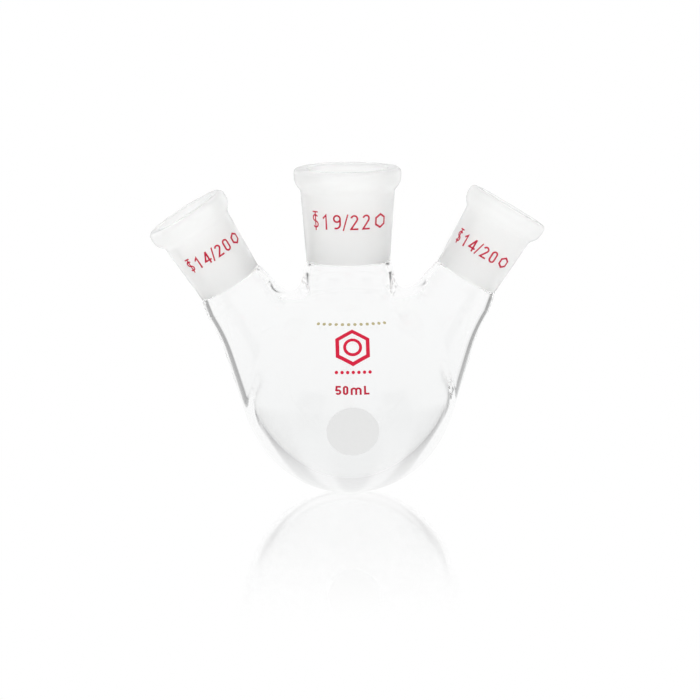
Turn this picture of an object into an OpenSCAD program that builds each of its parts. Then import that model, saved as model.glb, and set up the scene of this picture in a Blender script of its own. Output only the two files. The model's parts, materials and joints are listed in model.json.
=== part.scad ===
// Three-neck round bottom flask with standard taper ground glass sockets.
// Millimetres, +Z up. The origin is the lowest point of the bulb, on its centre axis.
// The side necks lie in the XZ plane, and the fired-on marks face -Y.

/* [Bulb] */
// Outside diameter of the bulb
bulb_d = 51; // [50.4:0.2:51.6]
// Glass thickness at the crown and the sides of the bulb
crown_wall = 1.5; // [1.3:0.1:1.8]
// Glass thickness at the lowest point, where blown glass stays thickest
base_wall = 3; // [2:0.1:3.4]

/* [Centre neck] */
// Height of the centre mouth above the lowest point
centre_mouth_z = 78.5; // [78:0.1:84]
// Large end diameter of the centre ground taper
centre_bore_d = 18.8; // [18.6:0.1:19]
// Length of the centre ground taper
centre_ground_l = 22; // [20:0.5:24]
// Outside diameter of the centre lip bead
centre_lip_d = 25.5; // [25:0.1:26.4]

/* [Side necks] */
// Lean of each side neck from the vertical, in degrees
side_tilt = 31.3; // [31:0.1:34]
// Height at which the side neck axes cross the centre axis
side_aim_z = 5.2; // [4.4:0.2:6]
// Distance from that crossing to each side mouth
side_reach = 74.4; // [74:0.2:80]
// Large end diameter of the side ground taper
side_bore_d = 14.5; // [14.3:0.1:14.7]
// Length of the side ground taper
side_ground_l = 20; // [18:0.5:22]
// Outside diameter of the side lip bead
side_lip_d = 20.4; // [19.8:0.1:21]

/* [Marks] */
// Thickness of the fired-on enamel
enamel_t = 0.06; // [0.05:0.01:0.15]
// Stroke width of the small marks
fine_stroke = 0.4; // [0.35:0.01:0.55]
// Diameter of the white writing spot
spot_d = 12.2; // [10:0.1:13]
// Turn of the bulb marks about the centre axis, in degrees
bulb_mark_turn = -2.5; // [-6:0.1:6]
// Turn of the centre neck's mark about its own axis, in degrees
centre_mark_turn = -5.4; // [-8:0.1:8]
// Turn of the left neck's mark towards the centre neck, in degrees
left_mark_turn = 6.5; // [-20:0.5:20]
// Turn of the right neck's mark towards the centre neck, in degrees
right_mark_turn = 14.5; // [-20:0.5:20]
// Depth of the centre neck's mark below its mouth
centre_mark_depth = 11.7; // [10:0.1:14]
// Depth of the left neck's mark below its mouth
left_mark_depth = 11; // [9:0.1:13]
// Depth of the right neck's mark below its mouth
right_mark_depth = 12.2; // [9:0.1:13]
// Height of the figures on the centre neck
centre_figure_h = 3.65; // [3:0.05:4]
// Height of the figures on the side necks
side_figure_h = 3; // [2.6:0.05:3.3]

/* [Hidden] */
$fn = 96;

// Ground tapers narrow by one part in ten on the diameter.
taper = 1 / 20;
// One corner arc is drawn with a point every this many degrees.
arc_step = 9;
glass = [0.80, 0.90, 0.92, 0.35];
ground_glass = [0.93, 0.94, 0.94, 0.75];
red = [0.80, 0.10, 0.25];
olive = [0.72, 0.68, 0.52];
white = [0.93, 0.93, 0.93];

bulb_r = bulb_d / 2;
cavity_r = bulb_r - crown_wall;

// A socket is [bore radius, ground length, lip radius, radius below the bead,
// waist radius, stem radius, stem length, stem wall]. It hangs below its mouth at z = 0.
centre_socket = [centre_bore_d / 2, centre_ground_l, centre_lip_d / 2, 11.2, 9.95, 10.85, 3.4, 1.2];
side_socket = [side_bore_d / 2, side_ground_l, side_lip_d / 2, 8.6, 7.8, 9, 5, 1.5];

function bore_r(s) = s[0];
function ground_l(s) = s[1];
function lip_r(s) = s[2];
function under_r(s) = s[3];
function waist_r(s) = s[4];
function stem_r(s) = s[5];
function stem_l(s) = s[6];
function stem_wall(s) = s[7];
function socket_l(s) = ground_l(s) + stem_l(s);

// Below the bead's foot, the outside of a socket is a plain cone down to its waist.
bead_foot = 5.3;
function cone_r(s, depth) =
  under_r(s) + (waist_r(s) - under_r(s)) * (depth - bead_foot) / (ground_l(s) - bead_foot);

centre_seam_z = centre_mouth_z - socket_l(centre_socket);
side_seam_t = side_reach - socket_l(side_socket);
// The bulb's centre, seen along a side neck's axis and square to it.
side_mid_t = (bulb_r - side_aim_z) * cos(side_tilt);
side_off = (bulb_r - side_aim_z) * sin(side_tilt);

// ---- Outlines with rounded corners: each corner is [x, y, radius] ----

function flat(p) = [p[0], p[1]];
function unit(v) = v / norm(v);
function short_turn(a) = a > 180 ? a - 360 : a < -180 ? a + 360 : a;
function corner(before, at, after, r) =
  r == 0 ? [at] :
  let (u = unit(before - at), w = unit(after - at),
       half = acos(u * w) / 2,
       centre = at + unit(u + w) * r / sin(half),
       from = at + u * r / tan(half) - centre,
       to = at + w * r / tan(half) - centre,
       start = atan2(from.y, from.x),
       turn = short_turn(atan2(to.y, to.x) - start),
       steps = max(2, ceil(abs(turn) / arc_step)))
  [for (i = [0 : steps]) centre + r * [cos(start + turn * i / steps), sin(start + turn * i / steps)]];
function rounded(path) =
  let (n = len(path))
  [for (i = [0 : n - 1])
    each corner(flat(path[(i + n - 1) % n]), flat(path[i]), flat(path[(i + 1) % n]), path[i][2])];

// ---- Glass ----

// A ground socket, revolved about z, with its mouth at z = 0 and its seam at the bottom.
module socket(s) {
  small_r = bore_r(s) - ground_l(s) * taper;
  seam = -socket_l(s);
  section = [
    [stem_r(s) - stem_wall(s), seam, 0],
    [small_r + 0.6, -ground_l(s) - 0.7, 0.6],
    [small_r, -ground_l(s), 0],
    [bore_r(s), 0, 0.3],
    [lip_r(s), 0, 1.1],
    [lip_r(s), -3.3, 3.6],
    [under_r(s), -bead_foot, 1.6],
    [waist_r(s), -ground_l(s), 0.4],
    [waist_r(s) + 0.4, -ground_l(s) - 0.8, 0.5],
    [stem_r(s), seam, 0]
  ];
  rotate_extrude() polygon(rounded(section));
}

// Turns a part that stands on z into one that lies along a side neck's axis.
module along_side_neck(side) {
  translate([0, 0, side_aim_z]) rotate([0, side * side_tilt, 0]) children();
}

// The drawn-up glass under the centre neck, thinned by wall and lengthened past the seam by more.
module centre_branch(wall, more) {
  r = stem_r(centre_socket) - wall;
  foot_r = 16.6 - wall;
  foot_z = bulb_r + sqrt((bulb_r - wall) * (bulb_r - wall) - foot_r * foot_r) - 0.2;
  section = [
    [0, centre_seam_z + more, 0],
    [r, centre_seam_z + more, 0],
    [r + 0.7, 49, 3],
    [foot_r, foot_z, 0],
    [0, foot_z, 0]
  ];
  rotate_extrude() polygon(rounded(section));
}

// The drawn-out glass under a side neck, thinned by wall and lengthened past the seam by more.
module side_branch(wall, more) {
  r = stem_r(side_socket) - wall;
  foot_r = bulb_r - side_off - 0.15 - wall;
  section = [
    [0, side_seam_t + more, 0],
    [r, side_seam_t + more, 0],
    [r, side_seam_t - 4.7, 34],
    [foot_r, side_mid_t + 5.2, 30],
    [foot_r, side_mid_t, 0],
    [0, side_mid_t, 0]
  ];
  rotate_extrude() polygon(rounded(section));
}

// The hollow of the bulb: a concentric sphere, cut by the same sphere raised to thicken the base.
module cavity() {
  intersection() {
    translate([0, 0, bulb_r]) sphere(cavity_r);
    translate([0, 0, base_wall + cavity_r]) sphere(cavity_r);
  }
}

// The thick glass in the fork between the centre neck and a side neck, with a round saddle
// whose lowest point is straight out from the middle of the web.
module fork_web(side) {
  saddle_r = 3.2;
  x = stem_r(centre_socket) + 0.3 + saddle_r;
  z = side_aim_z + (x * cos(side_tilt) + stem_r(side_socket) + 0.2 + saddle_r) / sin(side_tilt);
  lean = atan(x / (z - saddle_r - bulb_r));
  web_r = 8;
  web_depth = 3.3;
  difference() {
    translate([0, 0, bulb_r]) rotate([0, side * lean, 0])
      translate([0, 0, bulb_r - web_depth]) sphere(web_r);
    translate([side * x, 0, z]) rotate([90, 0, 0])
      cylinder(h = 4 * web_r, r = saddle_r, center = true);
  }
}

module bulb() {
  color(glass) difference() {
    union() {
      translate([0, 0, bulb_r]) sphere(bulb_r);
      centre_branch(0, 0);
      for (side = [-1, 1]) fork_web(side);
      for (side = [-1, 1]) along_side_neck(side) side_branch(0, 0);
    }
    union() {
      cavity();
      centre_branch(stem_wall(centre_socket), 1);
      for (side = [-1, 1]) along_side_neck(side) side_branch(stem_wall(side_socket), 1);
    }
  }
}

module centre_neck() {
  color(ground_glass) translate([0, 0, centre_mouth_z]) socket(centre_socket);
}

module side_neck(side) {
  color(ground_glass) along_side_neck(side) translate([0, 0, side_reach]) socket(side_socket);
}

module left_neck() { side_neck(-1); }
module right_neck() { side_neck(1); }

// ---- Marks: flat outlines, drawn x to the right and y up, thrown onto the glass ----

// A stroke of width w along a polyline, with mitred corners and square ends.
function direction(path, i) =
  i == 0 ? unit(path[1] - path[0]) :
  i == len(path) - 1 ? unit(path[i] - path[i - 1]) :
  unit(unit(path[i] - path[i - 1]) + unit(path[i + 1] - path[i]));
function mitre(path, i) =
  let (d = direction(path, i), e = unit(path[max(i, 1)] - path[max(i, 1) - 1]))
  [-d.y, d.x] / max(0.5, d * e);
function stroke_outline(path, w) =
  concat([for (i = [0 : len(path) - 1]) path[i] + mitre(path, i) * w / 2],
         [for (i = [len(path) - 1 : -1 : 0]) path[i] - mitre(path, i) * w / 2]);
module stroke(path, w) { polygon(stroke_outline(path, w)); }

function arc(c, r, from, to, n = 10) =
  [for (i = [0 : n]) let (a = from + (to - from) * i / n) c + r * [cos(a), sin(a)]];

// Glyphs stand in a cell one unit high, from y = 0 to y = 1, centred on x = 0.
module glyph(name, w) {
  if (name == "1") stroke([[-0.16, 0.72], [0.06, 0.95], [0.06, 0]], w);
  if (name == "9") nine(w);
  if (name == "/") stroke([[-0.15, -0.04], [0.15, 1.02]], w * 0.8);
  if (name == "2") two(w);
  if (name == "4") four(w);
  if (name == "5") five(w);
  if (name == "0") zero(w);
  if (name == "m") em(w);
  if (name == "L") stroke([[-0.2, 0.97], [-0.2, w / 2], [0.24, w / 2]], w);
  if (name == "taper") taper_sign(w);
}
module nine(w) {
  r = 0.26 - w / 2;
  c = [0, 1 - 0.27];
  difference() {
    translate(c) circle(r + w / 2);
    translate(c) circle(r - w / 2);
  }
  stroke(concat([c + [r, 0]], arc([-0.07, 0.38], r + 0.07, 0, -110)), w);
}
module two(w) {
  r = 0.26 - w / 2;
  stroke(concat(arc([0, 0.72], r, 165, -35), [[-0.2, w / 2], [0.27, w / 2]]), w);
}
module four(w) {
  stroke([[0.12, 0], [0.12, 1]], w);
  stroke([[0.12, 0.97], [-0.24, 0.27], [0.3, 0.27]], w);
}
module five(w) {
  r = 0.31 - w / 2;
  stroke([[0.24, 1 - w / 2], [-0.18, 1 - w / 2], [-0.22, 0.42]], w);
  stroke(arc([-0.02, 0.31], r, 150, -150), w);
}
module zero(w) {
  difference() {
    polygon(oval(0.27));
    polygon(oval(0.27 - w));
  }
}
// An upright bar with round ends around the middle of the cell.
function oval(r) =
  concat(arc([0, 0.73], r, 0, 180), arc([0, 0.27], r, 180, 360));
module em(w) {
  r = 0.22;
  x = -2 * r;
  stroke([[x, 0], [x, 0.7]], w);
  for (i = [0, 1])
    stroke(concat(arc([x + r + 2 * r * i, 0.5], r, 170, 0), [[x + 2 * r * (i + 1), 0]]), w);
}
// The standard taper sign: an S curve with a bar above it and a stem through it.
module taper_sign(w) {
  r = 0.2;
  thin = w * 0.8;
  stroke([[-0.22, 1.12], [0.22, 1.12]], thin);
  stroke([[0, 1.12], [0, -0.08]], thin);
  stroke(concat(arc([0, 0.72], r, 30, 260), arc([0, 0.32], r, 80, -150)), thin);
}
// A benzene ring: a hexagon with a circle in it.
module ring_sign(w) {
  hexagon_sign(w);
  difference() {
    circle(0.25);
    circle(0.25 - w);
  }
}

// A hexagon in outline, about one unit high.
module hexagon_sign(w) {
  r = 0.5;
  difference() {
    polygon([for (i = [0 : 5]) (r + 0.02) * [sin(60 * i), cos(60 * i)]]);
    polygon([for (i = [0 : 5]) (r - w * 1.155) * [sin(60 * i), cos(60 * i)]]);
  }
}

// How far a throw reaches, from inside the glass to clear of it.
throw = 40;

// A thin skin of enamel on a socket's cone, between two depths below the mouth.
module neck_skin(s, top, bottom) {
  rotate_extrude() polygon([
    [cone_r(s, top), -top],
    [cone_r(s, top) + enamel_t, -top],
    [cone_r(s, bottom) + enamel_t, -bottom],
    [cone_r(s, bottom), -bottom]
  ]);
}

// A thin skin of enamel all over the bulb, centred on the origin.
module bulb_skin() {
  difference() {
    sphere(bulb_r + enamel_t);
    sphere(bulb_r);
  }
}

// Throws a flat outline onto what faces -Y.
module thrown() {
  rotate([90, 0, 0]) linear_extrude(throw) children();
}

// The row on a neck: each glyph and its place, in figure heights from the middle of the row.
size_row = [["taper", -2.25], ["1", -1.47], ["/", -0.115], ["2", 0.44], ["hexagon", 2.33]];
centre_figures = [["9", -0.67], ["2", 1.23]];
side_figures = [["4", -0.67], ["0", 1.23]];

module size_mark(s, figures, h, depth, turn) {
  r = cone_r(s, depth);
  for (item = concat(size_row, figures))
    intersection() {
      neck_skin(s, depth - 0.7 * h, depth + 0.7 * h);
      rotate([0, 0, turn + item[1] * h / r * 180 / PI]) translate([0, 0, -depth]) thrown()
        if (item[0] == "hexagon") scale(h * 0.95) hexagon_sign(fine_stroke / h);
        else translate([0, -h / 2]) scale(h) glyph(item[0], fine_stroke / h);
    }
}

module centre_size_mark() {
  color(red) translate([0, 0, centre_mouth_z])
    size_mark(centre_socket, centre_figures, centre_figure_h, centre_mark_depth, centre_mark_turn);
}

module side_size_mark(side, depth, turn) {
  color(red) along_side_neck(side) translate([0, 0, side_reach])
    size_mark(side_socket, side_figures, side_figure_h, depth, turn);
}

module left_size_mark() { side_size_mark(-1, left_mark_depth, left_mark_turn); }
module right_size_mark() { side_size_mark(1, right_mark_depth, -right_mark_turn); }

// Puts a flat outline on the bulb at a latitude, and at a turn from the front.
module on_bulb(latitude, turn) {
  translate([0, 0, bulb_r]) rotate([0, 0, bulb_mark_turn]) intersection() {
    bulb_skin();
    rotate([0, 0, turn]) rotate([-latitude, 0, 0]) thrown() children();
  }
}

// The capacity in bold figures: each glyph and its place, in figure heights.
capacity_row = [["5", -1.52], ["0", -0.8], ["m", 0.25], ["L", 1.34]];
capacity_h = 2.1;
capacity_stretch = 1.12;
bold_stroke = 0.42;

module capacity_mark() {
  color(red) for (item = capacity_row)
    on_bulb(9.6, item[1] * capacity_stretch * capacity_h / bulb_r * 180 / PI)
      translate([0, -capacity_h / 2]) scale([capacity_stretch * capacity_h, capacity_h])
        glyph(item[0], bold_stroke / capacity_h);
}

module ring_mark() {
  color(red) on_bulb(32.5, 0) scale(8.8) ring_sign(0.72 / 8.8);
}

// Dots on one latitude, evenly spaced about the front.
module dot_row(latitude, count, pitch, dot_d) {
  step = pitch / (bulb_r * cos(latitude)) * 180 / PI;
  for (i = [0 : count - 1]) on_bulb(latitude, (i - (count - 1) / 2) * step) circle(d = dot_d);
}

module upper_dot_row() { color(olive) dot_row(46, 12, 1.45, 0.8); }
module lower_dot_row() { color(red) dot_row(18.9, 7, 1.3, 0.8); }

module writing_spot() {
  color(white) on_bulb(-13.4, -0.5) circle(d = spot_d);
}

bulb();
centre_neck();
left_neck();
right_neck();
centre_size_mark();
left_size_mark();
right_size_mark();
capacity_mark();
ring_mark();
upper_dot_row();
lower_dot_row();
writing_spot();
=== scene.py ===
"""The looks of a round bottom flask with one upright and two leaning ground-joint necks.

The glass is rebuilt here from formulas, in four closed pieces that meet at their flame seals.
The fired-on marks are the CAD nodes themselves, with enamel materials.
Lengths are in millimetres until a mesh is made, and in metres in the materials.
The frame's +Z runs up the centre neck.
"""

import json
import math

import bmesh
import bpy
import numpy as np
from mathutils import Matrix, Vector


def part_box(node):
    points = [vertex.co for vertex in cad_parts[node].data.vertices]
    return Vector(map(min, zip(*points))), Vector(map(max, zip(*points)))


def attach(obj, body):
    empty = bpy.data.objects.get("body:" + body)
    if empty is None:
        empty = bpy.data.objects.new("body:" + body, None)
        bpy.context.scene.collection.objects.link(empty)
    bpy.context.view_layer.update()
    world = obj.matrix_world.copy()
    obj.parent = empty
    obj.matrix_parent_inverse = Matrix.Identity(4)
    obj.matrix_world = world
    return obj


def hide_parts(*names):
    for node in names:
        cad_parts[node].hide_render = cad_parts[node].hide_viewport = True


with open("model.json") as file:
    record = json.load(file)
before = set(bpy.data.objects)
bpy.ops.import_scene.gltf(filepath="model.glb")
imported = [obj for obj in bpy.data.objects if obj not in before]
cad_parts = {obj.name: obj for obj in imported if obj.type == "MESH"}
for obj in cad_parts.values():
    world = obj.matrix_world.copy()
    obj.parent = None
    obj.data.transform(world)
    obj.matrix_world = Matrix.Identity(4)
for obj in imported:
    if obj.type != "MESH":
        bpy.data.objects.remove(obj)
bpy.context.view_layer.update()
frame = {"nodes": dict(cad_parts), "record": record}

MM = 0.001
MOUNTS = {m["name"]: m for m in frame["record"]["mounts"]}


def mount_place(name):
    """A mount's point in millimetres and its axis."""
    mount = MOUNTS[name]
    return np.array(mount["pos_m"]) / MM, np.array(mount["axis"])


# ---- Sizes that the frame gives ----

BULB_LOW, BULB_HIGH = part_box("bulb")
BULB_R = round((BULB_HIGH.y - BULB_LOW.y) / 2 / MM, 1)
CENTRE_MOUTH = mount_place("centre_socket")[0]
SIDE_MOUTH, SIDE_AXIS = mount_place("right_socket")
TILT = math.atan2(SIDE_AXIS[0], SIDE_AXIS[2])
SIDE_REACH = SIDE_MOUTH[0] / math.sin(TILT)
SIDE_AIM_Z = SIDE_MOUTH[2] - SIDE_REACH * math.cos(TILT)

# ---- Sizes that belong to the glass itself ----

RADIUS_TAPER = 1 / 20  # the standard ground cone: 1 in 10 on the diameter
LIP_DEPTH = 3.3
BEAD_FOOT = 5.3


class Socket:
    """A ground socket below its mouth at z = 0: radii, lengths and wall of each stretch."""

    def __init__(self, mount, lip_r, under_r, waist_r, stem_r, stem_l, stem_wall):
        dims = MOUNTS[mount]["dims"]
        self.bore_r, self.ground_l = dims["r_mm"], dims["length_mm"]
        self.lip_r, self.under_r, self.waist_r = lip_r, under_r, waist_r
        self.stem_r, self.stem_l, self.stem_wall = stem_r, stem_l, stem_wall
        self.small_r = self.bore_r - self.ground_l * RADIUS_TAPER
        self.length = self.ground_l + stem_l
        self.hollow_r = stem_r - stem_wall


CENTRE = Socket("centre_socket", lip_r=12.75, under_r=11.2, waist_r=9.95,
                stem_r=10.85, stem_l=3.4, stem_wall=1.2)
SIDE = Socket("right_socket", lip_r=10.2, under_r=8.6, waist_r=7.8,
              stem_r=9.0, stem_l=5.0, stem_wall=1.5)
FOOT_ROUNDING = 0.5

CENTRE_SEAM_Z = CENTRE_MOUTH[2] - CENTRE.length
SIDE_SEAM_T = SIDE_REACH - SIDE.length

# ---- Implicit surfaces ----
# A surface takes points p and gives a shape: its distance f and its direction g at each point.


def along(lean, base_z, p):
    """Distances along and out from an axis that leans in the XZ plane, with the directions."""
    axis = np.array([math.sin(lean), 0.0, math.cos(lean)])
    q = p - np.array([0.0, 0.0, base_z])
    t = q @ axis
    out = q - t[:, None] * axis
    r = np.maximum(np.linalg.norm(out, axis=1), 1e-9)
    return t, r, out / r[:, None], axis


def ball(p, centre, radius):
    """A sphere."""
    d = p - np.array(centre)
    r = np.maximum(np.linalg.norm(d, axis=1), 1e-9)
    return r - radius, d / r[:, None]


def ramp(x, soft):
    """Zero below -soft, x above soft, and a parabola between; with its slope."""
    inside = np.clip(x + soft, 0, 2 * soft)
    value = np.where(x > soft, x, inside ** 2 / (4 * soft))
    return value, inside / (2 * soft)


def flared_tube(p, lean, base_z, stem_r, bends, end):
    """A tube round a leaning axis that widens down to its foot at end.

    A bend is (place along the axis, slope added below it, softness)."""
    t, r, out, axis = along(lean, base_z, p)
    radius, slope = np.full(len(p), float(stem_r)), np.zeros(len(p))
    for place, added, soft in bends:
        value, share = ramp(place - t, soft)
        radius += added * value
        slope -= added * share
    steep = np.sqrt(1 + slope ** 2)
    side = (r - radius) / steep, (out - slope[:, None] * axis) / steep[:, None]
    return overlap(side, (end - t, np.tile(-axis, (len(p), 1))), FOOT_ROUNDING)


def ease(x, start, stop):
    """Zero up to start, one from stop on, and a smooth rise between."""
    share = np.clip((x - start) / (stop - start), 0, 1)
    return share ** 2 * (3 - 2 * share)


def melt(one, other, k):
    """Joins two surfaces with a fillet of glass that is a quarter of k thick at its middle."""
    (fa, ga), (fb, gb) = one, other
    k = np.maximum(k, 1e-6)
    h = np.clip(0.5 + 0.5 * (fb - fa) / k, 0, 1)
    f = fb + (fa - fb) * h - k * h * (1 - h)
    g = gb + (ga - gb) * h[:, None]
    return f, g / np.maximum(np.linalg.norm(g, axis=1), 1e-9)[:, None]


def overlap(one, other, soft):
    """What lies within both surfaces, with its edge rounded."""
    (fa, ga), (fb, gb) = one, other
    f, g = melt((-fa, -ga), (-fb, -gb), soft)
    return -f, -g


def with_centre_branch(shape, p, stem_r, shoulder, foot):
    """Adds the drawn-up tube under the centre neck, which flares below its shoulder."""
    flare, widening, fillet = 1.13, 0.7, 0.4
    soft_top, soft_shoulder = 0.3, 1.3
    draw = widening / (CENTRE_SEAM_Z - shoulder)
    bends = [(CENTRE_SEAM_Z - soft_top, draw, soft_top), (shoulder, flare - draw, soft_shoulder)]
    tube = flared_tube(p, 0, 0, stem_r, bends, foot)
    return melt(shape, tube, fillet * ease(p[:, 2], foot + 0.3, foot + 1.5))


def with_side_branch(shape, p, side, stem_r, foot_r, foot_l, fork_k):
    """Adds the drawn-out tube under a side neck, which runs on into the side of the bulb.

    Its fillet is thickest in the fork and thins round the tube towards the outer side."""
    straight, soft_top, soft_foot = 4.7, 4.6, 3.9
    tuck, soft_tuck = -0.35, 3.0
    least = 0.06
    mid_t = (BULB_R - SIDE_AIM_Z) * math.cos(TILT)
    top, foot = SIDE_SEAM_T - straight, mid_t + foot_l
    slope = (foot_r - stem_r) / (top - foot)
    # It flares from its top to its foot, runs straight, and narrows again inside the bulb.
    bends = [(top, slope, soft_top), (foot, -slope, soft_foot), (mid_t + 1, tuck, soft_tuck)]
    tube = flared_tube(p, side * TILT, SIDE_AIM_Z, stem_r, bends, mid_t - 6)
    t, _, out, _ = along(side * TILT, SIDE_AIM_Z, p)
    towards_fork = out @ np.array([-side * math.cos(TILT), 0, math.sin(TILT)])
    around = least + (1 - least) * ease(towards_fork, -1, 1)
    return melt(shape, tube, fork_k * around * ease(t, mid_t - 5, mid_t - 1))


def outer_surface(p):
    """The outside of the bulb and its branches, with thick webs of glass in the forks."""
    inset = 0.15
    foot_r = BULB_R - (BULB_R - SIDE_AIM_Z) * math.sin(TILT) - inset
    shape = ball(p, (0, 0, BULB_R), BULB_R)
    shape = with_centre_branch(shape, p, CENTRE.stem_r, shoulder=49.0, foot=44.7)
    for side in (-1, 1):
        shape = with_side_branch(shape, p, side, SIDE.stem_r, foot_r, foot_l=5.2, fork_k=7.5)
    return shape


def cavity(p):
    """The hollow of the bulb, whose wall is even above and thickens smoothly down to the base."""
    low, span, thin, more = -0.1, 1.0, 1.35, 1.6
    d = p - np.array([0, 0, BULB_R])
    r = np.maximum(np.linalg.norm(d, axis=1), 1e-9)
    out, drop = d / r[:, None], -d[:, 2] / r
    share = np.clip((drop - low) / span, 0, 1)
    wall = thin + more * share ** 2 * (3 - 2 * share)
    growth = more * 6 * share * (1 - share) / span / r
    g = out - growth[:, None] * (np.array([0, 0, 1]) + drop[:, None] * out)
    steep = np.linalg.norm(g, axis=1)
    return (r - (BULB_R - wall)) / steep, g / steep[:, None]


def inner_surface(p):
    """The hollow inside the bulb and its branches."""
    shape = with_centre_branch(cavity(p), p, CENTRE.hollow_r, shoulder=48.3, foot=43.9)
    for side in (-1, 1):
        shape = with_side_branch(shape, p, side, SIDE.hollow_r, foot_r=12.3, foot_l=7.5, fork_k=7.0)
    return shape


# ---- A mesh of quads on an implicit surface ----


def pull_onto(surface, p, rounds=4):
    """Moves points onto the surface along its directions."""
    for _ in range(rounds):
        f, g = surface(p)
        p = p - f[:, None] * g
    return p


def slope_of(surface, p):
    """How fast the surface's value grows along each axis, from small differences."""
    step = 0.01
    g = np.empty_like(p)
    for axis in range(3):
        d = np.zeros(3)
        d[axis] = step
        g[:, axis] = (surface(p + d)[0] - surface(p - d)[0]) / (2 * step)
    return g


def settle(surface, p, rounds=2):
    """Sets points closely on the surface, by its measured slope."""
    for _ in range(rounds):
        g = slope_of(surface, p)
        p = p - (surface(p)[0] / (g ** 2).sum(1))[:, None] * g
    return p


def net_over(surface, low, high, cell):
    """Points and quads over the surface: one point in each grid cell that it passes through."""
    counts = np.ceil((np.array(high) - np.array(low)) / cell).astype(int) + 1
    ranges = [low[a] + cell * np.arange(counts[a]) for a in range(3)]
    grid = np.stack(np.meshgrid(*ranges, indexing="ij"), -1)
    inside = (surface(grid.reshape(-1, 3))[0] < 0).reshape(counts)
    whole = np.ones(counts - 1, bool)
    some = np.zeros(counts - 1, bool)
    for dx in (0, 1):
        for dy in (0, 1):
            for dz in (0, 1):
                corner = inside[dx:counts[0] - 1 + dx, dy:counts[1] - 1 + dy, dz:counts[2] - 1 + dz]
                whole &= corner
                some |= corner
    mixed = some & ~whole
    number = np.full(counts - 1, -1)
    number[mixed] = np.arange(mixed.sum())
    points = np.array(low) + cell * (np.argwhere(mixed) + 0.5)
    quads = []
    for axis in range(3):
        u, v = (axis + 1) % 3, (axis + 2) % 3
        first = np.moveaxis(inside, (axis, u, v), (0, 1, 2))
        cells = np.moveaxis(number, (axis, u, v), (0, 1, 2))
        a, b = first[:-1, 1:-1, 1:-1], first[1:, 1:-1, 1:-1]
        around = [cells[:, :-1, :-1], cells[:, 1:, :-1], cells[:, 1:, 1:], cells[:, :-1, 1:]]
        for crossing, order in ((a & ~b, (0, 1, 2, 3)), (~a & b, (3, 2, 1, 0))):
            quads.append(np.stack([around[i][crossing] for i in order], 1))
    return points, np.concatenate(quads)


def relax(surface, points, quads, rounds):
    """Evens out the net: each point moves towards its neighbours and back onto the surface."""
    ends = np.concatenate([quads[:, [i, (i + 1) % 4]] for i in range(4)])
    count = np.bincount(ends.ravel(), minlength=len(points))[:, None]
    for _ in range(rounds):
        total = np.zeros_like(points)
        for axis in range(3):
            total[:, axis] = np.bincount(ends[:, 0], points[ends[:, 1], axis], len(points))
            total[:, axis] += np.bincount(ends[:, 1], points[ends[:, 0], axis], len(points))
        points = pull_onto(surface, 0.5 * points + 0.5 * total / count, 2)
    return points


# The three flame seals: lean of the axis, height where it starts, place along it, and the socket.
SEAMS = [(-TILT, SIDE_AIM_Z, SIDE_SEAM_T, SIDE),
         (TILT, SIDE_AIM_Z, SIDE_SEAM_T, SIDE),
         (0.0, 0.0, CENTRE_SEAM_Z, CENTRE)]


def cut_at_seams(points, quads, radius_of):
    """Cuts a net at the seals and sets each cut ring on its exact circle. Returns the rings too."""
    snap, on_plane = 0.02, 0.05
    mesh = bpy.data.meshes.new("cut")
    mesh.from_pydata(points.tolist(), [], quads.tolist())
    bm = bmesh.new()
    bm.from_mesh(mesh)
    for lean, base_z, t, _ in SEAMS:
        axis = Vector((math.sin(lean), 0, math.cos(lean)))
        at = Vector((0, 0, base_z)) + axis * t
        bmesh.ops.bisect_plane(bm, geom=bm.verts[:] + bm.edges[:] + bm.faces[:], dist=snap,
                               plane_co=at, plane_no=axis, clear_outer=True)
    bm.verts.index_update()
    points = np.array([v.co for v in bm.verts])
    faces = [[v.index for v in f.verts] for f in bm.faces]
    edge = np.array([v.is_boundary for v in bm.verts])
    bm.free()
    bpy.data.meshes.remove(mesh)
    rings = []
    for lean, base_z, t, socket in SEAMS:
        at, _, out, axis = along(lean, base_z, points)
        ring = np.flatnonzero(edge & (abs(at - t) < on_plane))
        centre = np.array([0, 0, base_z]) + t * axis
        points[ring] = centre + out[ring] * radius_of(socket)
        angle = np.arctan2(out[ring, 1], out[ring] @ np.array([axis[2], 0, -axis[0]]))
        rings.append((ring[np.argsort(angle)], np.sort(angle)))
    return points, faces, rings


def bridge(outer, inner):
    """Triangles of the flat ring between two circles of points, each given with its angles."""
    (a, at), (b, bt) = outer, inner
    faces, i, j = [], 0, 0
    turn = 2 * math.pi
    while i < len(a) or j < len(b):
        next_a = at[(i + 1) % len(a)] + turn * ((i + 1) // len(a))
        next_b = bt[(j + 1) % len(b)] + turn * ((j + 1) // len(b))
        if j >= len(b) or (i < len(a) and next_a <= next_b):
            faces.append((a[i % len(a)], a[(i + 1) % len(a)], b[j % len(b)]))
            i += 1
        else:
            faces.append((a[i % len(a)], b[(j + 1) % len(b)], b[j % len(b)]))
            j += 1
    return faces


def new_object(name, points, faces, materials, loop_normals=None, face_material=None):
    """A shaded mesh object in the shared frame, from points in millimetres."""
    mesh = bpy.data.meshes.new(name)
    mesh.from_pydata((np.asarray(points) * MM).tolist(), [], faces)
    for m in materials:
        mesh.materials.append(m)
    if face_material is not None:
        mesh.polygons.foreach_set("material_index", face_material)
    mesh.shade_smooth()
    if loop_normals is not None:
        mesh.normals_split_custom_set(loop_normals)
    obj = bpy.data.objects.new(name, mesh)
    bpy.context.scene.collection.objects.link(obj)
    return obj


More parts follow.
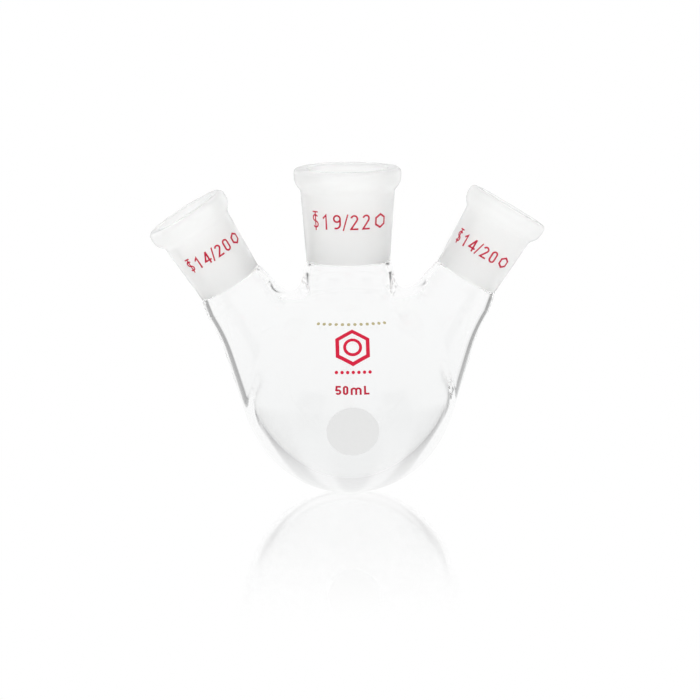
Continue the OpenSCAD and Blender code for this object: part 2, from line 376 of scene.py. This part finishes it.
def bulb_skin(surface, radius_of, outwards):
    """One side of the bulb's glass, cut at the seals: points, faces, normals and cut rings.

    outwards is 1 where the glass faces away from the hollow, and -1 where it faces into it."""
    cell = 0.7
    wide = SIDE_SEAM_T * math.sin(TILT) + SIDE.stem_r + 2
    # The grid starts at odd places, so that its planes miss the seals and the mirror planes.
    low = (-wide - 0.137, -BULB_R - 1.513, -1.571)
    high = (wide, BULB_R + 1.5, CENTRE_SEAM_Z + 2.0)
    points, quads = net_over(surface, low, high, cell)
    points = settle(surface, relax(surface, pull_onto(surface, points), quads, 4))
    points, faces, rings = cut_at_seams(points, quads, radius_of)
    normals = slope_of(surface, points) * outwards
    normals = normals / np.linalg.norm(normals, axis=1)[:, None]
    return points, [face[::outwards] for face in faces], normals, rings


def bulb_glass(clear, seal):
    """The blown bulb with its drawn-out branches, outside and inside, closed at the seals."""
    skins = (bulb_skin(outer_surface, lambda socket: socket.stem_r, 1),
             bulb_skin(inner_surface, lambda socket: socket.hollow_r, -1))
    start, faces, rings = 0, [], []
    for skin_points, skin_faces, _, found in skins:
        faces += [[start + i for i in face] for face in skin_faces]
        rings.append([(ring + start, angle) for ring, angle in found])
        start += len(skin_points)
    clear_slot, seal_slot = 0, 1
    kinds = [clear_slot] * len(faces)
    points, normals = (np.concatenate([skin[part] for skin in skins]) for part in (0, 2))
    loop_normals = [normals[i] for face in faces for i in face]
    for (lean, *_), outer, inner in zip(SEAMS, *rings):
        cap = bridge(outer, inner)
        axis = np.array([math.sin(lean), 0, math.cos(lean)])
        faces += cap
        kinds += [seal_slot] * len(cap)
        loop_normals += [axis] * (3 * len(cap))
    faces = [[int(i) for i in face] for face in faces]
    loop_normals = [tuple(n) for n in loop_normals]
    return new_object("bulb_glass", points, faces, [clear, seal], loop_normals, kinds)


# ---- Revolved glass ----


def left_of(d):
    """A direction in the plane, turned a quarter turn to the left."""
    return np.array([-d[1], d[0]])


def corner_turns(at, corners):
    """For each corner: the directions before and after it, the turn, and how far its arc reaches."""
    turns = []
    for i in range(len(at)):
        ahead = at[(i + 1) % len(at)]
        before = (at[i] - at[i - 1]) / np.linalg.norm(at[i] - at[i - 1])
        after = (ahead - at[i]) / np.linalg.norm(ahead - at[i])
        angle = math.atan2(before[0] * after[1] - before[1] * after[0], before @ after)
        turns.append((before, after, angle, corners[i][2] * math.tan(abs(angle) / 2)))
    return turns


def outline(corners, arc_step=6.0, longest=1.6):
    """Segments (start, end, start normal, end normal, kind) round a closed outline.

    A corner is (radius, height, rounding, kind of the stretch after it)."""
    at = [np.array(corner[:2], float) for corner in corners]
    turns = corner_turns(at, corners)
    segments = []
    for i, (_, _, rounding, kind) in enumerate(corners):
        before, after, angle, reach = turns[i]
        steps = max(2, math.ceil(abs(math.degrees(angle)) / arc_step)) if reach > 0 else 0
        side = 1 if angle > 0 else -1
        hub = at[i] - before * reach + left_of(before) * rounding * side
        stops = range(steps + 1) if steps else []
        dirs = [Matrix.Rotation(angle * k / steps, 2) @ Vector(before) for k in stops]
        spots = [hub - left_of(d) * rounding * side for d in dirs]
        for k in range(steps):
            arc_kind = corners[i - 1][3] if k < steps / 2 else kind
            segments.append((spots[k], spots[k + 1], left_of(dirs[k]), left_of(dirs[k + 1]), arc_kind))
        onward = (i + 1) % len(corners)
        first, last = at[i] + after * reach, at[onward] - after * turns[onward][3]
        pieces = max(1, math.ceil(np.linalg.norm(last - first) / longest))
        for k in range(pieces):
            a, b = (first + (last - first) * part / pieces for part in (k, k + 1))
            segments.append((a, b, left_of(after), left_of(after), kind))
    return segments


def revolve(name, segments, materials, lean, base, around=288):
    """Turns an outline's segments about an axis that leans in the XZ plane."""
    turn = np.arange(around) * 2 * math.pi / around
    to_world = np.array(Matrix.Rotation(lean, 3, "Y"))

    def swept(v, origin=0):
        rows = np.stack([v[0] * np.cos(turn), v[0] * np.sin(turn), np.full(around, v[1])], 1)
        return rows @ to_world.T + origin

    points = np.concatenate([swept(s[0], base) for s in segments])
    count = len(segments)
    j = np.arange(around)
    after = (j + 1) % around
    faces, normals, kinds = [], [], []
    for i, (_, _, na, nb, kind) in enumerate(segments):
        here, there = i * around, ((i + 1) % count) * around
        faces.append(np.stack([here + j, there + j, there + after, here + after], 1))
        a, b = swept(na), swept(nb)
        normals.append(np.stack([a[j], b[j], b[after], a[after]], 1).reshape(-1, 3))
        kinds += [kind] * around
    faces = np.concatenate(faces).tolist()
    normals = np.concatenate(normals).tolist()
    return new_object(name, points, faces, materials, normals, kinds)


# Material slots of a neck.
CLEAR, GROUND, SEAL, SATIN = 0, 1, 2, 3


def neck_glass(name, socket, lean, base, materials):
    """A ground socket: satin outside and at the lip, ground inside, with a clear stem below."""
    s = socket
    seam = -s.length
    corners = [
        (s.hollow_r, seam, 0, CLEAR),
        (s.hollow_r, seam + 0.5, 1.5, CLEAR),
        (s.small_r + 0.6, -s.ground_l - 0.7, 0.8, CLEAR),
        (s.small_r, -s.ground_l, 0.25, GROUND),
        (s.bore_r, -0.25, 0.3, GROUND),
        (s.bore_r + 0.3, 0, 0.3, SATIN),
        (s.lip_r, 0, 1.1, SATIN),
        (s.lip_r, -LIP_DEPTH, 3.6, SATIN),
        (s.under_r, -BEAD_FOOT, 1.6, SATIN),
        (s.waist_r, -s.ground_l, 0.8, CLEAR),
        (s.waist_r + 0.4, -s.ground_l - 0.8, 0.7, CLEAR),
        (s.stem_r, seam + 0.6, 2.0, CLEAR),
        (s.stem_r, seam, 0, SEAL),
    ]
    return revolve(name, outline(corners), materials, lean, base)


# ---- Materials ----

BOROSILICATE_IOR = 1.473
NOISE_LOW, NOISE_HIGH = 0.3, 0.7  # the range that a noise mostly keeps to
LOW_TINT_FADES = (0.0, 0.052, 0.0, 0.95)  # by height: a stretch for fade


def material(name):
    """An empty node material, with its nodes and links."""
    m = bpy.data.materials.new(name)
    m.use_nodes = True
    m.node_tree.nodes.clear()
    return m, m.node_tree.nodes, m.node_tree.links


def feed(links, socket, value):
    """Sets a socket to a number, or links another node's output to it."""
    if isinstance(value, (int, float)):
        socket.default_value = value
    else:
        links.new(value, socket)


def noise_at(nodes, links, scale, detail=2.0, stretch=(1, 1, 1)):
    """Noise by place in the shared frame, so that it needs no unwrapped mesh."""
    where = nodes.new("ShaderNodeTexCoord")
    place = nodes.new("ShaderNodeMapping")
    place.inputs["Scale"].default_value = stretch
    noise = nodes.new("ShaderNodeTexNoise")
    noise.inputs["Scale"].default_value = scale
    noise.inputs["Detail"].default_value = detail
    links.new(where.outputs["Object"], place.inputs["Vector"])
    links.new(place.outputs["Vector"], noise.inputs["Vector"])
    return noise


def spread(nodes, links, source, low, high):
    """Maps a noise's middle range to a range of numbers."""
    node = nodes.new("ShaderNodeMapRange")
    node.inputs["From Min"].default_value = NOISE_LOW
    node.inputs["From Max"].default_value = NOISE_HIGH
    node.inputs["To Min"].default_value = low
    node.inputs["To Max"].default_value = high
    links.new(source, node.inputs["Value"])
    return node.outputs["Result"]


def maths(nodes, links, operation, *values):
    """One step of arithmetic on numbers or outputs."""
    node = nodes.new("ShaderNodeMath")
    node.operation = operation
    for socket, value in zip(node.inputs, values):
        feed(links, socket, value)
    return node.outputs[0]


def fade(nodes, links, source, start, stop, first, last):
    """An eased change from first to last while a value goes from start to stop."""
    node = nodes.new("ShaderNodeMapRange")
    node.interpolation_type = "SMOOTHSTEP"
    for key, value in (("From Min", start), ("From Max", stop), ("To Min", first), ("To Max", last)):
        node.inputs[key].default_value = value
    links.new(source, node.inputs["Value"])
    return node.outputs["Result"]


def two_colours(nodes, links, source, dark, light):
    """A colour between two, by a noise's middle range."""
    ramp_node = nodes.new("ShaderNodeValToRGB")
    ramp_node.color_ramp.elements[0].position = NOISE_LOW
    ramp_node.color_ramp.elements[1].position = NOISE_HIGH
    ramp_node.color_ramp.elements[0].color = (*dark, 1)
    ramp_node.color_ramp.elements[1].color = (*light, 1)
    links.new(source, ramp_node.inputs["Fac"])
    return ramp_node.outputs["Color"]


def bump(nodes, links, source, height, strength):
    """A fine unevenness of the surface."""
    node = nodes.new("ShaderNodeBump")
    node.inputs["Distance"].default_value = height
    node.inputs["Strength"].default_value = strength
    links.new(source, node.inputs["Height"])
    return node.outputs["Normal"]


def principled(nodes, links):
    """A principled shader that gives the material its surface."""
    shader = nodes.new("ShaderNodeBsdfPrincipled")
    out = nodes.new("ShaderNodeOutputMaterial")
    links.new(shader.outputs["BSDF"], out.inputs["Surface"])
    return shader


def glass(name, transmission):
    """A material of borosilicate glass, with its nodes, links and shader."""
    m, nodes, links = material(name)
    shader = principled(nodes, links)
    shader.inputs["Transmission Weight"].default_value = transmission
    shader.inputs["IOR"].default_value = BOROSILICATE_IOR
    return m, nodes, links, shader


def clear_glass():
    """Blown glass, with the slight waves that the flame leaves and a faint grey tint low down."""
    m, nodes, links, shader = glass("clear_borosilicate_glass", 1.0)
    shader.inputs["Roughness"].default_value = 0.0
    waves = noise_at(nodes, links, 45, 1.0, (1, 1, 0.6))
    where, parts = nodes.new("ShaderNodeTexCoord"), nodes.new("ShaderNodeSeparateXYZ")
    links.new(where.outputs["Object"], parts.inputs[0])
    height = fade(nodes, links, parts.outputs["Z"], *LOW_TINT_FADES)
    wavy = maths(nodes, links, "ADD", height, spread(nodes, links, waves.outputs["Fac"], 0.0, 0.05))
    tint = nodes.new("ShaderNodeMix")
    tint.data_type = "RGBA"
    tint.inputs[6].default_value = (0.935, 0.94, 0.94, 1)
    tint.inputs[7].default_value = (0.977, 0.979, 0.979, 1)
    links.new(wavy, tint.inputs[0])
    links.new(tint.outputs[2], shader.inputs["Base Color"])
    links.new(bump(nodes, links, waves.outputs["Fac"], 0.0001, 0.08), shader.inputs["Normal"])
    return m


def ground_glass():
    """The ground bore: a fine white matt that still lets a good part of the light through."""
    m, nodes, links, shader = glass("ground_borosilicate_glass", 0.7)
    grain = noise_at(nodes, links, 5000, 2.0)
    patches = noise_at(nodes, links, 90, 2.0)
    links.new(spread(nodes, links, patches.outputs["Fac"], 0.75, 0.9), shader.inputs["Roughness"])
    colour = two_colours(nodes, links, grain.outputs["Fac"], (0.98, 0.982, 0.978), (0.992, 0.994, 0.99))
    links.new(colour, shader.inputs["Base Color"])
    links.new(bump(nodes, links, grain.outputs["Fac"], 0.00001, 0.1), shader.inputs["Normal"])
    return m


def satin_glass():
    """The outside of a ground socket, which looks slightly dull in the photograph."""
    m, nodes, links, shader = glass("satin_borosilicate_glass", 1.0)
    patches = noise_at(nodes, links, 120, 2.0)
    links.new(spread(nodes, links, patches.outputs["Fac"], 0.42, 0.5), shader.inputs["Roughness"])
    colour = two_colours(nodes, links, patches.outputs["Fac"], (0.985, 0.987, 0.984), (0.996, 0.997, 0.995))
    links.new(colour, shader.inputs["Base Color"])
    return m


def seal_glass():
    """The face where two pieces of glass are fused: light passes it as if it weren't there."""
    m, nodes, links = material("fused_seal")
    shader = nodes.new("ShaderNodeBsdfTransparent")
    out = nodes.new("ShaderNodeOutputMaterial")
    links.new(shader.outputs["BSDF"], out.inputs["Surface"])
    return m


def enamel(name, dark, light, roughness):
    """Fired-on enamel: a nearly flat colour, with the fine grain of the screen."""
    m, nodes, links = material(name)
    shader = principled(nodes, links)
    shader.inputs["Specular IOR Level"].default_value = 0.2
    grain = noise_at(nodes, links, 6000, 2.0)
    links.new(two_colours(nodes, links, grain.outputs["Fac"], dark, light), shader.inputs["Base Color"])
    links.new(spread(nodes, links, grain.outputs["Fac"], *roughness), shader.inputs["Roughness"])
    links.new(bump(nodes, links, grain.outputs["Fac"], 0.00001, 0.2), shader.inputs["Normal"])
    return m


def coat_mark(node, paint):
    """Gives a mark's CAD node its enamel."""
    obj = frame["nodes"][node]
    obj.data.materials.clear()
    obj.data.materials.append(paint)


# ---- Studio ----

# How bright the surroundings are: in general, in a flag's shade (painted shade on the floor), for
# matt surfaces, and for matt ones that are seen through glass.
WHITE = 1.0
FLAG_SHADE_LEVEL = 0.05
SOFT_LIGHT = 0.95
GROUND_LIGHT = 1.45

# Stretches for fade: where it starts and stops, and the share at either end.
FLAG_SHADE_CORE = (-0.8, -0.3, 0.8, 0.0)  # by the wave
FLAG_SHADE_EDGE = (-0.3, 0.6, 0.2, 0.0)  # by the wave
FLAG_TURNS = (1.0, 4.0, 1.0, 0.0)  # by how often the light was turned back
FLAG_HEIGHT = (-0.02, 0.12, 1.0, 0.0)  # by height, as a share of the distance
# The floor's painted shade: the flags' bands painted across the sheet, by distance from the upright axis.
FLOOR_PAINTED_SHADE_NEAR = (0.022, 0.05, 0.0, 0.7)  # by distance from the upright axis, in metres
FLOOR_PAINTED_SHADE_FAR = (0.095, 0.18, 0.0, 0.3)
SHADE_GROWS = (0.008, 0.033, 0.17, 0.68)
SHADE_ENDS = (0.05, 0.08, 0.0, -0.68)
SHADE_ROUND = (-0.9, 0.3, 0.2, 1.0)  # by the wave
MIRROR_SHARE = (0.035, 0.115, 0.46, 0.0)  # by distance


def four_waves(nodes, links, x, y):
    """A wave round the upright axis: one straight ahead and to the sides, minus one between."""
    angle = maths(nodes, links, "ARCTAN2", y, x)
    return maths(nodes, links, "COSINE", maths(nodes, links, "MULTIPLY", angle, 4.0))


def flag_shade_bands(nodes, links, wave):
    """The shade of the dark flags, in four bands with soft edges; on the floor it is painted shade."""
    core = fade(nodes, links, wave, *FLAG_SHADE_CORE)
    edge = fade(nodes, links, wave, *FLAG_SHADE_EDGE)
    return maths(nodes, links, "ADD", core, edge)


def mix_value(nodes, links, share, a, b):
    """A number between a and b."""
    node = nodes.new("ShaderNodeMix")
    node.data_type = "FLOAT"
    for socket, value in zip((node.inputs[0], node.inputs[2], node.inputs[3]), (share, a, b)):
        feed(links, socket, value)
    return node.outputs[0]


def studio_light(nodes, links, flag_shade):
    """How bright the white surroundings are for each kind of ray, given the density of the flags'
    shade, which is painted shade on the floor.

    Light that was turned back inside one wall of the glass meets the dark flags, the less
    the oftener it was turned. What is matt is lit evenly, and more brightly through glass.
    The rest sees plain white."""
    path = nodes.new("ShaderNodeLightPath")
    one_wall = maths(nodes, links, "COMPARE", path.outputs["Transmission Depth"], 2.0, 0.5)
    turned = maths(nodes, links, "GREATER_THAN", path.outputs["Glossy Depth"], 0.5)
    fewer = fade(nodes, links, path.outputs["Glossy Depth"], *FLAG_TURNS)
    aside = maths(nodes, links, "MULTIPLY", one_wall, maths(nodes, links, "MULTIPLY", turned, fewer))
    level = mix_value(nodes, links, maths(nodes, links, "MULTIPLY", aside, flag_shade), WHITE, FLAG_SHADE_LEVEL)
    matt = maths(nodes, links, "GREATER_THAN", path.outputs["Diffuse Depth"], 0.5)
    within = maths(nodes, links, "GREATER_THAN", path.outputs["Transmission Depth"], 0.5)
    even = mix_value(nodes, links, within, SOFT_LIGHT, GROUND_LIGHT)
    return mix_value(nodes, links, matt, level, even)


def studio_world():
    """White surroundings, with low dark flags."""
    world = bpy.data.worlds.new("white_studio")
    bpy.context.scene.world = world
    world.use_nodes = True
    nodes, links = world.node_tree.nodes, world.node_tree.links
    nodes.clear()
    where = nodes.new("ShaderNodeTexCoord")
    parts = nodes.new("ShaderNodeSeparateXYZ")
    links.new(where.outputs["Generated"], parts.inputs[0])
    glow = nodes.new("ShaderNodeBackground")
    glow.inputs["Color"].default_value = (1, 1, 1, 1)
    tall = fade(nodes, links, parts.outputs["Z"], *FLAG_HEIGHT)
    wave = four_waves(nodes, links, parts.outputs["X"], parts.outputs["Y"])
    flag_shade = maths(nodes, links, "MULTIPLY", flag_shade_bands(nodes, links, wave), tall)
    links.new(studio_light(nodes, links, flag_shade), glow.inputs["Strength"])
    out = nodes.new("ShaderNodeOutputWorld")
    links.new(glow.outputs[0], out.inputs["Surface"])
    world.cycles.sampling_method = "NONE"


def floor_glow(nodes, links, wave, distance):
    """The sheet's own light, with painted shade: the flags' bands run on across it, and a painted shade is
    denser near the flask's foot.
    """
    # Painted shade: the flags' four dark bands, painted across the glowing sheet.
    tall = maths(nodes, links, "ADD", fade(nodes, links, distance, *FLOOR_PAINTED_SHADE_NEAR),
                 fade(nodes, links, distance, *FLOOR_PAINTED_SHADE_FAR))
    flag_shade = maths(nodes, links, "MULTIPLY", flag_shade_bands(nodes, links, wave), tall)
    # Painted shade round the flask's foot, stronger in some directions than others.
    shade = maths(nodes, links, "ADD", fade(nodes, links, distance, *SHADE_GROWS),
                  fade(nodes, links, distance, *SHADE_ENDS))
    near = maths(nodes, links, "MULTIPLY", shade, fade(nodes, links, wave, *SHADE_ROUND))
    level = studio_light(nodes, links, maths(nodes, links, "ADD", flag_shade, near))
    glow = nodes.new("ShaderNodeEmission")
    links.new(level, glow.inputs["Strength"])
    return glow


def studio_floor():
    """A pale glossy sheet under the flask that glows like the walls, with painted shade, and with a faint
    mirror image in it.
    """
    m, nodes, links = material("white_acrylic_sheet")
    where = nodes.new("ShaderNodeTexCoord")
    parts = nodes.new("ShaderNodeSeparateXYZ")
    links.new(where.outputs["Object"], parts.inputs[0])
    far = nodes.new("ShaderNodeVectorMath")
    far.operation = "LENGTH"
    links.new(where.outputs["Object"], far.inputs[0])
    wave = four_waves(nodes, links, parts.outputs["X"], parts.outputs["Y"])
    distance = far.outputs["Value"]
    glow = floor_glow(nodes, links, wave, distance)
    gloss = nodes.new("ShaderNodeBsdfGlossy")
    gloss.inputs["Color"].default_value = (1, 1, 1, 1)
    gloss.inputs["Roughness"].default_value = 0.06
    share = fade(nodes, links, distance, *MIRROR_SHARE)
    path = nodes.new("ShaderNodeLightPath")
    seen = maths(nodes, links, "MULTIPLY", share, path.outputs["Is Camera Ray"])
    both = nodes.new("ShaderNodeMixShader")
    links.new(seen, both.inputs["Fac"])
    links.new(glow.outputs[0], both.inputs[1])
    links.new(gloss.outputs[0], both.inputs[2])
    out = nodes.new("ShaderNodeOutputMaterial")
    links.new(both.outputs[0], out.inputs["Surface"])
    half, gap = 300, 0.02
    corners = [(-half, -half, -gap), (half, -half, -gap), (half, half, -gap), (-half, half, -gap)]
    floor = new_object("studio_floor", corners, [(0, 1, 2, 3)], [m])


def studio_camera():
    """A long lens a little above the flask and a little to the left of its front."""
    distance = 620
    elevation, azimuth, roll = math.radians(11.3), math.radians(-4.66), math.radians(0.55)
    back = Vector((math.sin(azimuth) * math.cos(elevation),
                   -math.cos(azimuth) * math.cos(elevation),
                   math.sin(elevation)))
    level = Vector((math.cos(azimuth), math.sin(azimuth), 0))
    rise = back.cross(level)
    right = level * math.cos(roll) - rise * math.sin(roll)
    up = rise * math.cos(roll) + level * math.sin(roll)
    data = bpy.data.cameras.new("studio_camera")
    data.sensor_width = 36
    data.lens = 132.6
    data.shift_x, data.shift_y = 0.0007, 0.0531
    data.clip_start, data.clip_end = 0.01, 10
    camera = bpy.data.objects.new("studio_camera", data)
    turn = Matrix((right, up, back)).transposed().to_4x4()
    camera.matrix_world = Matrix.Translation((Vector((0, 0, BULB_R)) + back * distance) * MM) @ turn
    bpy.context.scene.collection.objects.link(camera)
    bpy.context.scene.camera = camera


def render_look():
    """Plain colours, and enough bounces for light to get through all the glass."""
    scene = bpy.context.scene
    scene.view_settings.view_transform = "Standard"
    scene.view_settings.look = "None"
    scene.cycles.max_bounces = 128
    scene.cycles.diffuse_bounces = 12
    scene.cycles.transmission_bounces = 32
    scene.cycles.glossy_bounces = 96
    scene.cycles.transparent_max_bounces = 32
    scene.cycles.use_denoising = True
    scene.cycles.caustics_reflective = True
    scene.cycles.caustics_refractive = True


# ---- The flask ----


def build_glass():
    """The four glass pieces, which take the place of their CAD nodes."""
    clear, ground, seal, satin = clear_glass(), ground_glass(), seal_glass(), satin_glass()
    bulb = bulb_glass(clear, seal)
    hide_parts("bulb")
    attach(bulb, "root")
    necks = (("centre_neck", CENTRE, 0.0), ("left_neck", SIDE, -TILT), ("right_neck", SIDE, TILT))
    for node, socket, lean in necks:
        mouth = mount_place(node.replace("neck", "socket"))[0]
        neck = neck_glass(node + "_glass", socket, lean, mouth, [clear, ground, seal, satin])
        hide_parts(node)
        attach(neck, "root")


def paint_marks():
    """The enamel on each mark. The figures have a deeper red than the ring and the dots."""
    fired, matt = (0.35, 0.5), (0.75, 0.9)
    red = enamel("red_enamel", (0.66, 0.006, 0.04), (0.76, 0.01, 0.058), fired)
    deep_red = enamel("deep_red_enamel", (0.5, 0.006, 0.034), (0.58, 0.01, 0.047), fired)
    olive = enamel("olive_enamel", (0.5, 0.44, 0.24), (0.58, 0.52, 0.3), fired)
    white = enamel("white_enamel", (0.8, 0.805, 0.8), (0.86, 0.862, 0.86), matt)
    for node in ("centre_size_mark", "left_size_mark", "right_size_mark", "capacity_mark"):
        coat_mark(node, deep_red)
    for node in ("ring_mark", "lower_dot_row"):
        coat_mark(node, red)
    coat_mark("upper_dot_row", olive)
    coat_mark("writing_spot", white)


studio_camera()
studio_world()
studio_floor()
render_look()
build_glass()
paint_marks()
